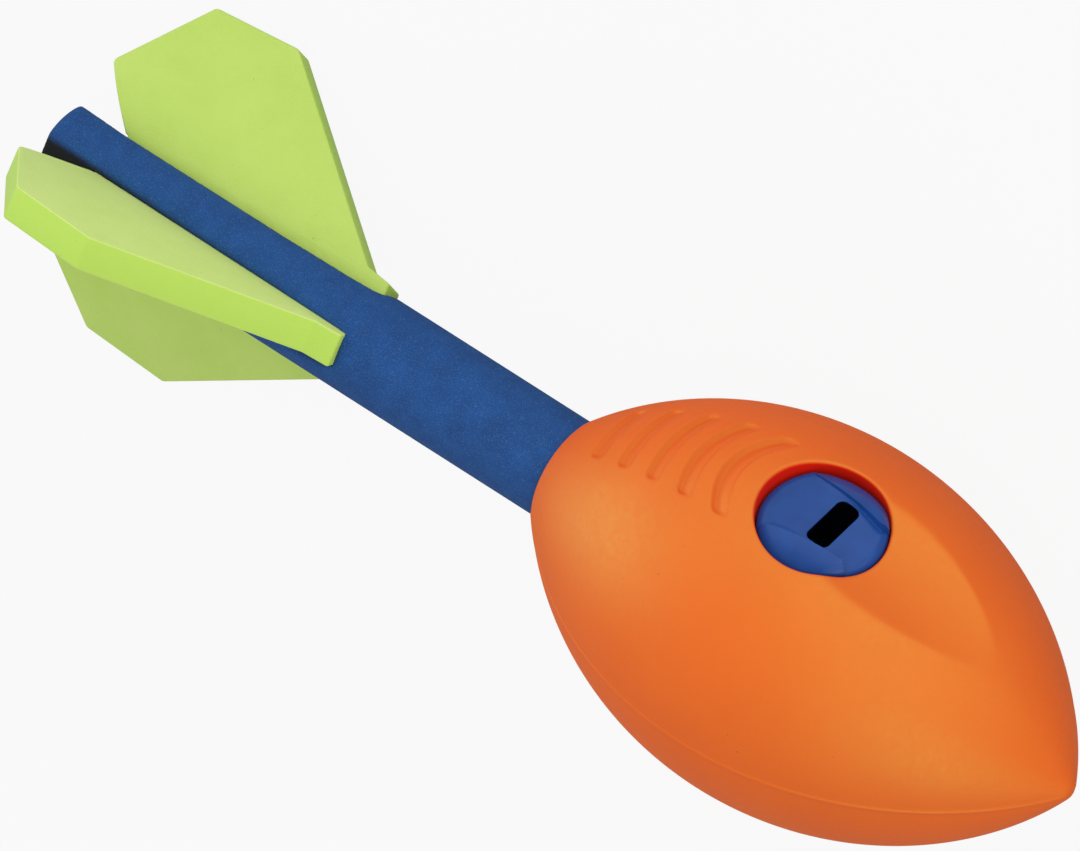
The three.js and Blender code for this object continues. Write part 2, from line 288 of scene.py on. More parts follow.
def mixedColour(tree, share, first, second):
    node = addNode(tree, "ShaderNodeMix", {"data_type": "RGBA"})
    feed(tree, node, {"Factor": share})
    for name, colour in (("A", first), ("B", second)):
        socket = [s for s in node.inputs if s.name == name and s.type == "RGBA"][0]
        if isinstance(colour, tuple):
            socket.default_value = (*colour, 1)
        else:
            tree.links.new(colour, socket)
    return [s for s in node.outputs if s.type == "RGBA"][0]


def bumped(tree, height, strength, distance, under=None):
    node = addNode(tree, "ShaderNodeBump", Strength=strength, Distance=distance)
    feed(tree, node, {"Height": height} if under is None else {"Height": height, "Normal": under})
    return node.outputs["Normal"]


# What mark() has written on the mesh
def marked(tree, name):
    return addNode(tree, "ShaderNodeAttribute", {"attribute_name": name}).outputs["Fac"]


def orangeSkin():
    look = {
        "base": (0.92, 0.073, 0.003),
        "deep": (0.90, 0.065, 0.002),
        "patchScale": 45,
        "speck": (0.42, 0.05, 0.01),
        "speckScale": 900,
        # painted shade: the deep red on the pocket walls stands in for the shade and bounced orange
        # light in them
        "pocket": (0.92, 0.012, 0.004),
        # painted shade: a darker orange on the grooves' tail-side walls and along their nose-side
        # edges
        "creaseShade": (0.80, 0.074, 0.006),
        "creaseShadeDull": 0.4,  # share of a pocket's dulling that the painted groove shade gets
        "shine": (0.5, 0.05),  # of the open skin, and in a pocket
        "roughness": (0.50, 0.60),
        "roughScale": 700,
        "peelScale": 1300,
        "waveScale": 110,
    }
    material, tree, shader = newMaterial("orangeSkin", {
        "IOR": 2.25,
        "Specular Tint": (0.03, 1.0, 0.22, 1),
        "Sheen Weight": 0.3,
        "Sheen Roughness": 0.4,
        "Sheen Tint": (1, 0.10, 0.02, 1),
    })
    patches = spanned(tree, noiseAt(tree, look["patchScale"], detail=3), 0.35, 0.65)
    colour = mixedColour(tree, patches, look["base"], look["deep"])
    specks = spanned(tree, noiseAt(tree, look["speckScale"], detail=0), 0.89, 0.91)
    colour = mixedColour(tree, specks, colour, look["speck"])
    pocket, creaseShade = marked(tree, "pocket"), marked(tree, "creaseShade")
    colour = mixedColour(tree, pocket, colour, look["pocket"])
    colour = mixedColour(tree, creaseShade, colour, look["creaseShade"])
    dull = addNode(tree, "ShaderNodeMath", {"operation": "MULTIPLY_ADD"})
    dull.inputs[1].default_value = look["creaseShadeDull"]
    feed(tree, dull, {0: creaseShade, 2: pocket})
    rough = noiseAt(tree, look["roughScale"])
    peel = bumped(tree, noiseAt(tree, look["peelScale"]), strength=0.10, distance=0.0002)
    waves = noiseAt(tree, look["waveScale"], detail=1)
    feed(tree, shader, {
        "Base Color": colour,
        "Specular IOR Level": spanned(tree, dull.outputs[0], 0, 1, *look["shine"]),
        "Roughness": spanned(tree, rough, 0.3, 0.7, *look["roughness"]),
        "Normal": bumped(tree, waves, strength=0.12, distance=0.0006, under=peel),
    })
    return material


def blueTubeFoam():
    look = {
        "base": (0.007, 0.074, 0.275),
        "deep": (0.004, 0.052, 0.205),
        "patchScale": 160,
        "fleck": (0.12, 0.25, 0.47),
        "cellScale": 3000,
        "cut": (0.002, 0.003, 0.005),
    }
    material, tree, shader = newMaterial("blueTubeFoam", {
        "Roughness": 0.82,
        "Specular IOR Level": 0.35,
    })
    patches = spanned(tree, noiseAt(tree, look["patchScale"], detail=4, roughness=0.6), 0.3, 0.7)
    colour = mixedColour(tree, patches, look["base"], look["deep"])
    cells = noiseAt(tree, look["cellScale"], roughness=0.6)
    colour = mixedColour(tree, spanned(tree, cells, 0.54, 0.74, 0, 0.4), colour, look["fleck"])
    feed(tree, shader, {
        "Base Color": mixedColour(tree, marked(tree, "cutFoam"), colour, look["cut"]),
        "Normal": bumped(tree, cells, strength=0.55, distance=0.0003),
    })
    return material


# The top fin's foam is painted paler than the other two, a painted sheen for the light and floor
# reflection on its faces; the foam is the same
greenSheets = {
    "paintedLightSheetFoam": {"base": (0.660, 0.840, 0.225), "deep": (0.620, 0.805, 0.195),
                      "cut": (0.49, 0.73, 0.110)},
    "greenSheetFoam": {"base": (0.495, 0.685, 0.112), "deep": (0.460, 0.655, 0.092),
                       "cut": (0.44, 0.69, 0.080)},
}


def greenSheetFoam(name):
    look = {
        **greenSheets[name],
        "patchScale": 60,
        "speck": (0.25, 0.36, 0.08),
        "speckScale": 900,
        "shine": (0.7, 0.2),  # of the sheet's faces, and of its cut edge
        "grainScale": 1700,
        "waveScale": 130,
    }
    material, tree, shader = newMaterial(name, {
        "Roughness": 0.6,
        "Sheen Weight": 0.2,
        "Sheen Roughness": 0.5,
        "Sheen Tint": (0.85, 1, 0.7, 1),
    })
    patches = spanned(tree, noiseAt(tree, look["patchScale"], detail=4, roughness=0.6), 0.35, 0.65)
    colour = mixedColour(tree, patches, look["base"], look["deep"])
    cut = marked(tree, "cutEdge")
    colour = mixedColour(tree, cut, colour, look["cut"])
    specks = spanned(tree, noiseAt(tree, look["speckScale"], detail=0), 0.86, 0.9, 0, 0.5)
    grain = noiseAt(tree, look["grainScale"], roughness=0.6)
    grain = bumped(tree, grain, strength=0.35, distance=0.0003)
    waves = noiseAt(tree, look["waveScale"])
    feed(tree, shader, {
        "Base Color": mixedColour(tree, specks, colour, look["speck"]),
        "Specular IOR Level": spanned(tree, cut, 0, 1, *look["shine"]),
        "Normal": bumped(tree, waves, strength=0.15, distance=0.0006, under=grain),
    })
    return material


def blueWhistlePlastic():
    look = {
        "base": (0.011, 0.068, 0.300),
        "deep": (0.008, 0.056, 0.260),
        "patchScale": 120,
        # painted shade: near black on the cap's inside under the mouth and the top, the same
        # plastic in shade
        "inside": (0.002, 0.002, 0.004),
        "roughness": (0.17, 0.25),
        "roughScale": 900,
        "waveScale": 300,
    }
    material, tree, shader = newMaterial("blueWhistlePlastic", {"Specular IOR Level": 0.28})
    patches = spanned(tree, noiseAt(tree, look["patchScale"]), 0.35, 0.65)
    colour = mixedColour(tree, patches, look["base"], look["deep"])
    rough = noiseAt(tree, look["roughScale"], detail=3, roughness=0.6)
    waves = noiseAt(tree, look["waveScale"], detail=1)
    feed(tree, shader, {
        "Base Color": mixedColour(tree, marked(tree, "inside"), colour, look["inside"]),
        "Roughness": spanned(tree, rough, 0.3, 0.7, *look["roughness"]),
        "Normal": bumped(tree, waves, strength=0.04, distance=0.0003),
    })
    return material


# The inside of a whistle: the same blue plastic, painted near black as shade, and dull
def paintedShadeInside():
    look = {
        "base": (0.006, 0.010, 0.022),
        "deep": (0.003, 0.005, 0.010),
        "patchScale": 200,
        "grainScale": 1200,
    }
    material, tree, shader = newMaterial("paintedShadeInside", {
        "Roughness": 0.8,
        "Specular IOR Level": 0.2,
    })
    patches = spanned(tree, noiseAt(tree, look["patchScale"], detail=3), 0.35, 0.65)
    grain = noiseAt(tree, look["grainScale"])
    feed(tree, shader, {
        "Base Color": mixedColour(tree, patches, look["base"], look["deep"]),
        "Normal": bumped(tree, grain, strength=0.2, distance=0.0002),
    })
    return material


def blackCorePlastic():
    look = {
        "base": (0.007, 0.008, 0.011),
        "dust": (0.016, 0.018, 0.022),
        "dustScale": 500,
        "roughness": (0.4, 0.6),  # clean, and under dust
        "grainScale": 900,
    }
    material, tree, shader = newMaterial("blackCorePlastic", {})
    dust = spanned(tree, noiseAt(tree, look["dustScale"], detail=4, roughness=0.7), 0.45, 0.7)
    grain = noiseAt(tree, look["grainScale"])
    feed(tree, shader, {
        "Base Color": mixedColour(tree, dust, look["base"], look["dust"]),
        "Roughness": spanned(tree, dust, 0, 1, *look["roughness"]),
        "Normal": bumped(tree, grain, strength=0.1, distance=0.0002),
    })
    return material


headMaterial = orangeSkin()
tubeMaterial = blueTubeFoam()
sheetMaterials = {name: greenSheetFoam(name) for name in greenSheets}
whistleMaterial = blueWhistlePlastic()
coreMaterial = blackCorePlastic()
insideMaterial = paintedShadeInside()
print("materials are made")

# The head
head = {
    "nose": 320,
    "radius": 48.2,
    "neckArc": 97.5,  # of the side, from the neck to the widest place
    "noseArc": 100.5,
    "noseFlat": 1.5,
    "neck": 15,
    "socket": 13.8,
    "socketDepth": 46,
    "socketGap": 0.3,  # behind the tube's end
    "bore": 6.6,
    "boreDepth": 54.3,
    # the rear edge: forward from the rear, and out from the socket or from the neck
    "socketEdge": [(0.6, 0), (0.15, 0.12), (0, 0.45)],
    "neckEdge": [(0.05, -0.25), (0.22, 0.07)],
    "tip": [(0.2, 1.72), (0.06, 1.3), (0, 0.8), (0, 0)],  # back from the nose, and off the axis
    "skinEnd": 0.5,  # from the rear and from the nose to the first row of skin
    "rowStep": 0.84,
    "fineTurn": 28.2,  # half width of the finely divided band round each whistle, in degrees
    "fineStep": 0.75,
    "coarseStep": 1.8,
    "seamColumns": [90, 89.75, 89.5, 89.2, 88.8, 88.2],
    "seamHeight": 0.26,
    "seamWidth": 0.5,
    "sharpOver": 40,  # edges sharper than this many degrees stay hard
}
whistle = {
    "angles": {"upper": 35, "lower": 215},
    "at": 241.6,
    "capSink": 0.5,  # of the cap's top under the skin
    "pocket": 16.7,
    "pocketRound": 1.2,
    "pocketShadeMark": (0.05, 1.0),  # depths under the skin where the painted shade of the pocket's wall, a deeper red, starts and is full
    "markMargin": 0.5,
    "patchAlong": 22,  # half length of the patch of skin round the pocket
    "patchRings": 22,
    "patchCrowding": 0.8,
    "edgeRings": 6,
    "ledge": 10.5,  # depths under the cap's top
    "floor": 29,
    "well": 15.3,
}
groove = {
    "count": 5,
    "first": -26.9,
    "pitch": -9.45,
    "bow": 5.7,
    "bowShare": 0.6,
    "sweep": 17.5,  # degrees round the toy, to either side
    "reach": 2,  # sweeps to either side, past which there is none
    "widths": [5.4, 5.0, 4.5, 4.3, 4.3],
    "depth": 1.1,
    "wall": 2.0,  # width of the sloped wall on the tail side
    "lip": 0.25,  # share of the depth that is left on the nose side
    "lipStep": 0.3,
    "corner": 1.0,
    # from the middle towards the nose, in half widths
    "wallFrom": -1.05,
    "rise": (-0.3, 0.95),
    # where the painted shade on the tail-side wall comes in and goes out
    "shadeStart": (-1.12, -0.9),
    "shadeEnd": (0.5, -0.6),
    "lipShade": (0.15, 0.22),  # a thin line of painted shade past the nose-side edge: how far past it, and how wide
    "rows": (-70, -22.5),  # where the head's rows are twice as close
}
scoop = {
    "middle": -2.0,
    "crossRadius": 60,
    # lowest line of the hollow: from the whistle's middle, and from the axis
    "line": [(13, 42.1), (20, 40.3), (26, 38.8), (31, 37.5), (36, 35.9), (41, 34.2), (45, 32.7),
             (48.5, 31.2), (52.5, 29.1)],
    "lineRange": (8, 60),
    "fade": (0, 10),
    "soft": (0.7, 0.2),  # of its edge, near the whistle and far off
    "softRange": (14, 40),
    "reach": 4,  # over the skin, where the soft edge has run out
}
sliver = 0.01  # keeps the last step of a range in it, and a divisor off zero


# How far along the toy an arc of the side runs, from the widest place to the end
def arcRun(arc, endRadius):
    return math.sqrt(arc ** 2 - (arc - head["radius"] + endRadius) ** 2)


widestAt = head["nose"] - arcRun(head["noseArc"], head["noseFlat"])
headRear = widestAt - arcRun(head["neckArc"], head["neck"])
scoopLine = np.polyfit(*np.array(scoop["line"]).T, 3)


def skinRadius(x):
    arc = np.where(x < widestAt, head["neckArc"], head["noseArc"])
    return np.sqrt(np.maximum(arc ** 2 - (x - widestAt) ** 2, 0)) - arc + head["radius"]


capTop = float(skinRadius(whistle["at"])) - whistle["capSink"]
ledgeHeight = capTop - whistle["ledge"]
wellFloor = capTop - whistle["floor"]


# How deep one groove is at a place near a whistle, and how much painted shade it gets on its
# tail-side wall and in a thin line past its nose-side edge
def grooveAt(index, a, turn, radius):
    half = groove["widths"][index] / 2
    corner = groove["corner"]
    side = turn / groove["sweep"]
    bow = groove["bow"] * groove["bowShare"] ** index
    off = a - (groove["first"] + index * groove["pitch"] + bow * side ** 2)
    along = off / half
    past = np.radians(np.abs(turn) - groove["sweep"]) * radius
    fromEnd = past + corner + np.maximum(np.abs(off) - half + corner, 0) ** 2 / (2 * corner)
    near = np.abs(side) < groove["reach"]
    wall = smoothStep(groove["wallFrom"], groove["wallFrom"] + groove["wall"] / half, along)
    rise = 1 - (1 - groove["lip"]) * smoothStep(*groove["rise"], along)
    step = 1 - smoothStep(1, 1 + groove["lipStep"] / half, along)
    ends = smoothStep(corner, -corner / 2, fromEnd - corner)
    wallShade = smoothStep(*groove["shadeStart"], along) * smoothStep(*groove["shadeEnd"], along)
    lipOff, lipWidth = groove["lipShade"]
    lipShadeLine = np.exp(-((off - half - lipOff) / lipWidth) ** 2)
    creaseShade = (wallShade + lipShadeLine) * smoothStep(corner, 0, fromEnd - corner) * near
    return groove["depth"] * wall * rise * step * ends * near, creaseShade


# How deep the skin is sunk at a place near a whistle, by the scoop and the grooves, and the painted
# shade in the grooves: a along the toy and t across, from the whistle's middle
def skinForm(a, t):
    radius = skinRadius(a + whistle["at"])
    h = np.sqrt(np.maximum(radius ** 2 - t ** 2, 0))
    turn = np.degrees(np.arctan2(t, h))
    hollow = np.polyval(scoopLine, np.clip(a, *scoop["lineRange"]))
    hollow = hollow + (t - scoop["middle"]) ** 2 / (2 * scoop["crossRadius"])
    softNear, softFar = scoop["soft"]
    soft = softNear + (softFar - softNear) * smoothStep(*scoop["softRange"], a)
    sunk = h - softMin(h, hollow, soft)
    sunk = np.where(h - hollow > -scoop["reach"], sunk, 0) * smoothStep(*scoop["fade"], a)
    creaseShades = np.zeros(np.shape(sunk))
    for index in range(groove["count"]):
        depth, creaseShade = grooveAt(index, a, turn, radius)
        sunk = sunk + depth
        creaseShades = np.maximum(creaseShades, creaseShade)
    return sunk, creaseShades


def skinAt(flat):
    a, t = flat[:, 0], flat[:, 1]
    out = np.sqrt(skinRadius(a + whistle["at"]) ** 2 - t ** 2) - skinForm(a, t)[0]
    return np.column_stack([flat, out])


# Half of the head cut lengthways: the socket with the neck's edge, the skin, and the nose's tip
def headProfile():
    socketEnd = headRear + head["socketDepth"] + head["socketGap"]
    boreEnd = headRear + head["boreDepth"]
    inner = [(boreEnd, 0), (boreEnd, head["bore"]), (socketEnd, head["bore"]),
             (socketEnd, head["socket"])]
    inner += [(headRear + along, head["socket"] + out) for along, out in head["socketEdge"]]
    inner += [(headRear + along, head["neck"] + out) for along, out in head["neckEdge"]]
    tip = [(head["nose"] - back, radius) for back, radius in head["tip"]]
    neckLean = math.asin((widestAt - headRear - head["skinEnd"]) / head["neckArc"])
    noseLean = math.asin((head["nose"] - head["skinEnd"] - widestAt) / head["noseArc"])
    neckSteps = round(neckLean * head["neckArc"] / head["rowStep"])
    noseSteps = round(noseLean * head["noseArc"] / head["rowStep"])
    neckSide = widestAt - head["neckArc"] * np.sin(np.linspace(neckLean, 0, neckSteps + 1))
    noseSide = widestAt + head["noseArc"] * np.sin(np.linspace(0, noseLean, noseSteps + 1)[1:])
    skin = np.concatenate([neckSide, noseSide])
    between = (skin[1:] + skin[:-1]) / 2
    rear, front = groove["rows"]
    grooved = (between > whistle["at"] + rear) & (between < whistle["at"] + front)
    return inner, np.sort(np.concatenate([skin, between[grooved]])), tip


# Degrees of the columns from a whistle's angle, over half the head, closest together near the
# whistle and at the mould seam
def headColumns():
    fine = np.arange(0, head["fineTurn"] + sliver, head["fineStep"])
    seam = np.array(head["seamColumns"])
    gap = seam[-1] - fine[-1]
    coarse = np.linspace(fine[-1], seam[-1], round(gap / head["coarseStep"]))[1:-1]
    half = np.concatenate([fine, coarse, seam[::-1]])
    return np.concatenate([-half[:0:-1], half])


# Half of the head, round a whistle, and the first and last row and column of the patch of skin
# that the pocket is cut in
def headGrid():
    inner, skin, tip = headProfile()
    columns = np.radians(headColumns())
    rowX = np.concatenate([[x for x, r in inner], skin, [x for x, r in tip]])
    rowR = np.concatenate([[r for x, r in inner], skinRadius(skin), [r for x, r in tip]])
    onSkin = np.zeros(len(rowX), bool)
    onSkin[len(inner):len(inner) + len(skin)] = True
    a = rowX[:, None] - whistle["at"] + 0 * columns[None, :]
    fromSeam = (math.pi / 2 - np.abs(columns))[None, :] * rowR[:, None]
    ridge = head["seamHeight"] * np.exp(-(fromSeam / head["seamWidth"]) ** 2)
    radius = rowR[:, None] + ridge * onSkin[:, None]
    t = radius * np.sin(columns)[None, :]
    h = radius * np.cos(columns)[None, :] - np.where(onSkin[:, None], skinForm(a, t)[0], 0)
    rows = np.where(onSkin & (np.abs(rowX - whistle["at"]) <= whistle["patchAlong"]))[0]
    cols = np.where(np.abs(np.degrees(columns)) <= head["fineTurn"] + sliver)[0]
    return np.stack([a, t, h], -1), rows[[0, -1]], cols[[0, -1]]


# Rings of points from the rim of the patch to the pocket, over its edge and down to the well
def pocketRings(rim):
    circle = onCircle(rim)
    wide = whistle["pocket"] + whistle["pocketRound"]
    rings = [rim]
    for share in (np.linspace(0, 1, whistle["patchRings"] + 1) ** whistle["patchCrowding"])[1:]:
        rings.append(skinAt(rim[:, :2] * (1 - share) + circle * wide * share))
    start, bend = rings[-1], skinAt(circle * whistle["pocket"])
    end = bend - [0, 0, whistle["pocketRound"]]
    for share in np.linspace(0, 1, whistle["edgeRings"] + 1)[1:]:
        rings.append(onBend(start, bend, end, share))

    def level(radius, height):
        return np.column_stack([circle * radius, np.full(len(circle), height)])

    ledge = level(whistle["pocket"], ledgeHeight)
    rings += [end * 0.5 + ledge * 0.5, ledge]
    return rings + [level(whistle["well"], height) for height in (ledgeHeight, wellFloor)]


# Marks the painted shade on the head: a deep red on the pockets' walls, and a darker orange in the
# grooves
def markHead(mesh):
    pocket, creaseShades = np.zeros(len(mesh.vertices)), np.zeros(len(mesh.vertices))
    for angle in whistle["angles"].values():
        a, t, h = ownPlaces(mesh, angle).T
        sunk, creaseShade = skinForm(a, t)
        creaseShades = np.maximum(creaseShades, creaseShade * (h > 0))
        skin = np.sqrt(np.maximum(skinRadius(a + whistle["at"]) ** 2 - t ** 2, 0)) - sunk
        near = (np.hypot(a, t) < whistle["pocket"] + whistle["markMargin"]) & (h > 0)
        pocket = np.maximum(pocket, smoothStep(*whistle["pocketShadeMark"], skin - h) * near)
    mark(mesh, "pocket", pocket)
    mark(mesh, "creaseShade", creaseShades)


def makeHead():
    shell = newShell()
    grid, (i0, i1), (j0, j1) = headGrid()
    rings = pocketRings(rimOf(grid[i0:i1 + 1, j0:j1 + 1]))
    for angle in whistle["angles"].values():
        put = lambda points: turned(points, angle, whistle["at"])
        addGrid(shell, put(grid[:i0 + 1]))
        addGrid(shell, put(grid[i1:]))
        addGrid(shell, put(grid[i0:i1 + 1, :j0 + 1]))
        addGrid(shell, put(grid[i0:i1 + 1, j1:]))
        addGrid(shell, put(rings), closed=True)
        addFan(shell, put(rings[-1]), put([0, 0, wellFloor]))
    mesh = meshFromShell("headFoam", shell)
    piece = linkPiece("headFoam", mesh, headMaterial, head["sharpOver"])
    markHead(mesh)
    return piece


standFor(makeHead(), "head_foam")

# The whistles
cap = {
    "radius": 16.4,
    "rise": 6.4,  # from the rim to the top, across the toy
    "longArc": 80,  # the top is the side of a barrel that lies along the toy
    "side": 2,
    "sideLeast": 0.4,
    "bottomEdge": 0.2,
    "rimRound": 2.4,
    "rimRows": 7,
    "channelDepth": 3,
    "channelHalf": 8.7,
    "channelTaper": 0.107,  # lost by each side of the channel per millimetre towards the nose
    "tailBend": 250,
    "noseSlope": 10.5,
    "mouth": {
        "at": 2.6,
        "half": (3.25, 7.4),
        "corner": 2.0,
        "round": 0.18,
        "margin": 1.6,  # of the patch round it
        "rings": 7,
        "edge": [(0.09, 0.035), (0.03, 0.09), (0, 0.2), (0, 0.5)],  # out from the mouth, and down
    },
    "wall": 1.6,
    "hollowRings": 8,
    "stations": (12, 84, 12),  # behind the lobes, beside them, and before them
    "easeStations": 4,
    "across": 40,
    "lobe": 16,
    # the edge between the channel and a lobe: off the edge, from the floor and from the lobe
    "foot": [(-0.22, 0), (-0.09, 0.03), (-0.03, 0.09), (0, 0.22)],
    "brow": [(0, 0.26), (0.03, 0.10), (0.10, 0.02)],
    "browEnd": 0.3,
    "lowestWall": 0.6,  # height of wall that has its full foot and brow
    "footSoft": 5,  # how much wider the foot is towards the tail
    "footRange": (4, -6),
    "aside": -1.0,  # shift of the channel's middle across the toy
    # painted shade inside the cap, near black: margins round the mouth, depths in it, depth and
    # reach of the rest
    "darkShade": {"margins": (0.3, 0.4), "mouth": (0.08, 0.3), "depth": 0.9, "lobeIn": 1.2, "reach": 14},
    "sharpOver": 35,
}
capBall = (cap["radius"] ** 2 + cap["rise"] ** 2) / (2 * cap["rise"])  # radius of the top, across
capReach = cap["radius"] - cap["rimRound"]
capBottom = capTop - cap["rise"] - cap["side"]
channelTop = capTop - cap["channelDepth"]


def lobeAt(a, t):
    across = capTop - capBall + np.sqrt(capBall ** 2 - t ** 2)
    return across - cap["longArc"] + np.sqrt(cap["longArc"] ** 2 - a ** 2)


# The channel is level across, so t makes no difference
def channelAt(a, t=None):
    tailSide = channelTop - cap["tailBend"] + np.sqrt(cap["tailBend"] ** 2 - np.minimum(a, 0) ** 2)
    slope = math.tan(math.radians(cap["noseSlope"]))
    return tailSide - np.maximum(a - cap["mouth"]["at"], 0) * slope


# The mouth's outline grown by a margin, one point for each point of a square round it
def mouthLoop(square, margin):
    mouth = cap["mouth"]
    half = np.array(mouth["half"]) + margin
    corner = mouth["corner"] + margin
    points = square * half
    middle = np.sign(square) * (half - corner)
    inCorner = np.all(np.abs(points) > half - corner, axis=1)
    away = points - middle
    away = away / np.maximum(np.linalg.norm(away, axis=1), 1e-9)[:, None] * corner
    points[inCorner] = (middle + away)[inCorner]
    return points + [mouth["at"], 0]


def stacked(a, t, h):
    return np.stack(np.broadcast_arrays(a, t, h), -1).astype(float)


# The channel and the mouth are moved aside, and the rim stays where it is
def shifted(points):
    points = np.array(points, float)
    reach = np.clip(np.hypot(points[..., 0], points[..., 1]) / cap["radius"], 0, 1)
    points[..., 1] += cap["aside"] * (1 - reach ** 2)
    return points


# Places along the cap, half the channel's width there, how far the lobe's edge is worked out and
# how wide its foot is, and which places are beside the lobes
def capStations():
    half, taper = cap["channelHalf"], cap["channelTaper"]
    slant, middle = 1 + taper ** 2, half * taper
    spread = math.sqrt(middle ** 2 - slant * (half ** 2 - capReach ** 2))
    a1, a2 = (middle - spread) / slant, (middle + spread) / slant
    nTail, nBeside, nNose = cap["stations"]
    lean1, lean2 = math.acos(-a1 / capReach), math.acos(a2 / capReach)
    tailA = -capReach * np.cos(np.linspace(0, lean1, nTail + 1))
    besideA = np.linspace(a1, a2, nBeside + 1)
    noseA = capReach * np.cos(np.linspace(lean2, 0, nNose + 1))
    a = np.concatenate([tailA[:-1], besideA, noseA[1:]])
    edge = np.minimum(half - taper * a, np.sqrt(np.maximum(capReach ** 2 - a ** 2, 0)))
    beside = slice(nTail, nTail + nBeside + 1)
    steps = np.arange(nBeside + 1)
    ease = np.zeros(len(a))
    ease[beside] = np.clip(np.minimum(steps, nBeside - steps) / cap["easeStations"], 0, 1)
    wide = 1 + cap["footSoft"] * smoothStep(*cap["footRange"], a)
    return a, edge, ease, wide, beside


# Rings of points from the rim of the patch to the mouth, down through it, and down the domed
# inside to the cap's bottom
def mouthRings(patch, across):
    mouth = cap["mouth"]
    along = np.linspace(-1, 1, len(patch))
    square = rimOf(np.stack(np.meshgrid(along, across, indexing="ij"), -1))
    rim = rimOf(patch)
    outer = mouthLoop(square, mouth["round"])
    rings = [rim]
    for share in np.linspace(0, 1, mouth["rings"] + 1)[1:]:
        flat = rim[:, :2] * (1 - share) + outer * share
        rings.append(np.column_stack([flat, channelAt(flat[:, 0])]))
    surface = rings[-1][:, 2]
    for margin, down in mouth["edge"]:
        rings.append(np.column_stack([mouthLoop(square, margin), surface - down]))

    hollowTop = channelTop - cap["wall"]
    ball = capBall - cap["channelDepth"] - cap["wall"]
    ballRim = math.sqrt(ball ** 2 - (ball - hollowTop + capBottom) ** 2)
    circle = onCircle(square)
    for share in np.linspace(0, 1, cap["hollowRings"] + 1):
        flat = mouthLoop(square, 0) * (1 - share) + circle * ballRim * share
        down = ball - np.sqrt(ball ** 2 - np.minimum((flat ** 2).sum(1), ballRim ** 2))
        rings.append(np.column_stack([flat, hollowTop - down]))
    return rings


# One lobe, and the wall between it and the channel
def lobeGrid(a, edge, ease, wide):
    low, high = channelAt(a), lobeAt(a, edge)
    least = cap["lowestWall"]
    browShare = np.clip((high - low) / least, 0, 1) * ease
    footShare = np.clip((high - low) / (least * wide), 0, 1) * ease * wide
    lines = [(a, edge + off * ease * wide, low + up * footShare) for off, up in cap["foot"]]
    lines += [(a, edge + off * ease, high - down * browShare) for off, down in cap["brow"]]
    inner = np.column_stack([a, edge + cap["browEnd"] * ease])
    end1, end2 = math.atan2(edge[0], a[0]), math.atan2(edge[-1], a[-1])
    arc = np.linspace(end1, end2, len(a))
    outer = np.column_stack([np.cos(arc), np.sin(arc)]) * capReach
    for part in np.linspace(0, 1, cap["lobe"] + 1):
        flatA, flatT = (inner * (1 - part) + outer * part).T
        lines.append((flatA, flatT, lobeAt(flatA, flatT)))
    return np.stack([stacked(*line) for line in lines])


# The rounded rim and the side, all round the cap
def capSkirt(channel, lobe, beside):
    oneSide = [(point, channelAt) for point in channel[beside.stop - 1:, -1][::-1]]
    oneSide += [(point, lobeAt) for point in lobe[-1][::-1]]
    oneSide += [(point, channelAt) for point in channel[:beside.start + 1, -1][::-1]]
    allRound = oneSide + [(point * [1, -1, 1], height) for point, height in oneSide[-2:0:-1]]
    loop = np.array([point for point, height in allRound])
    outwards = loop[:, :2] / np.linalg.norm(loop[:, :2], axis=1)[:, None]
    onSide = outwards * cap["radius"]
    heights = [height(flat[0], flat[1]) for (point, height), flat in zip(allRound, onSide)]
    bend = np.column_stack([onSide, heights])
    drop = np.minimum(cap["rimRound"], bend[:, 2] - capBottom - cap["sideLeast"])
    end = bend - np.outer(drop, [0, 0, 1])
    skirt = [onBend(loop, bend, end, share) for share in np.linspace(0, 1, cap["rimRows"] + 1)]
    small = cap["bottomEdge"]
    for inset, up in ((0, small), (small, 0)):
        height = np.full(len(loop), capBottom + up)
        skirt.append(np.column_stack([outwards * (cap["radius"] - inset), height]))
    return skirt


# Marks where the cap's inside gets painted shade: through the mouth and under the top
def markShadeInside(mesh, angle):
    a, t, h = ownPlaces(mesh, angle).T
    darkShade, mouth = cap["darkShade"], cap["mouth"]
    aWide, tWide = np.array(mouth["half"]) + darkShade["margins"]
    atMouth = (np.abs(a - mouth["at"]) < aWide) & (np.abs(t - cap["aside"]) < tWide)
    skin = np.minimum(channelAt(a), lobeAt(a, np.abs(t) + darkShade["lobeIn"]))
    inMouth = smoothStep(*darkShade["mouth"], channelAt(a) - h)
    under = np.where(atMouth, inMouth, skin - h > darkShade["depth"])
    mark(mesh, "inside", under * (np.hypot(a, t) < darkShade["reach"]))


